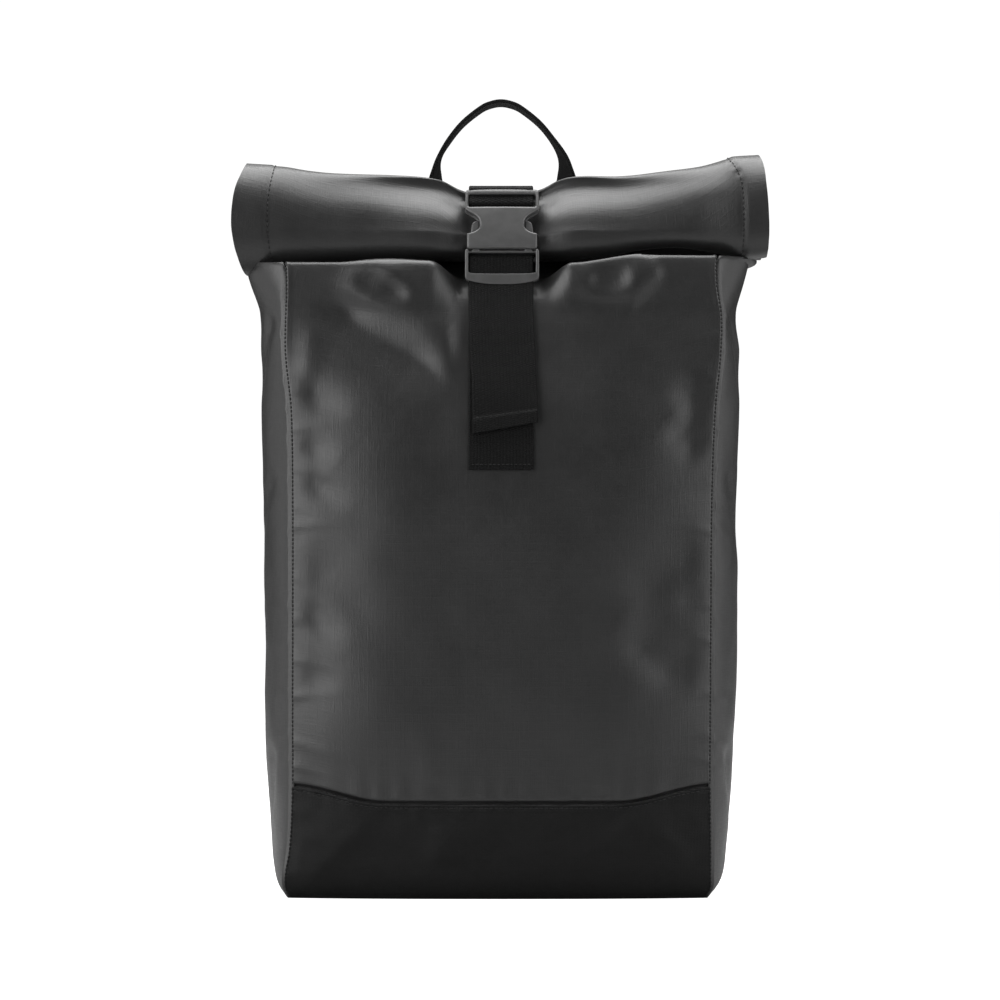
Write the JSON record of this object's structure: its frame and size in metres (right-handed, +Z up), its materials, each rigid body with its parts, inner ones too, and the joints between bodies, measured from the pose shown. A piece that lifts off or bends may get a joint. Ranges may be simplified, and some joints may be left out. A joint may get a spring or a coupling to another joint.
{
  "type": "rolltop backpack",
  "caption": "Upright bag whose top is rolled forward and held down by a strap with a side-release buckle, with a grab handle and padded shoulder straps on its back.",
  "frame": {"origin": "middle of the flat underside of the base", "axes": "+Z up, the front with its buckle faces -Y, +X to the right seen from the front"},
  "size_m": [0.322, 0.1727, 0.473],
  "materials": {
    "shell_cloth": "coated ripstop cloth, semi-matte",
    "boot_cloth": "fine-grained reinforcement cloth, matte",
    "webbing": "ribbed woven webbing, matte",
    "buckle_plastic": "moulded, satin",
    "padding": "cloth over foam, matte"
  },
  "bodies": {
    "root": {"front_panel": "shell_cloth", "boot_panel": "boot_cloth", "side_gusset_left": "shell_cloth", "side_gusset_right": "shell_cloth", "back_panel": "padding", "base_panel": "boot_cloth", "rolled_collar": "shell_cloth", "front_strap": "webbing", "roll_strap": "webbing", "grab_handle": "webbing", "buckle_socket": "buckle_plastic", "buckle_prongs": "buckle_plastic", "shoulder_strap_left": "padding", "shoulder_strap_right": "padding", "ladder_lock_left": "buckle_plastic", "ladder_lock_right": "buckle_plastic", "lower_webbing_left": "webbing", "lower_webbing_right": "webbing"}
  },
  "joints": []
}
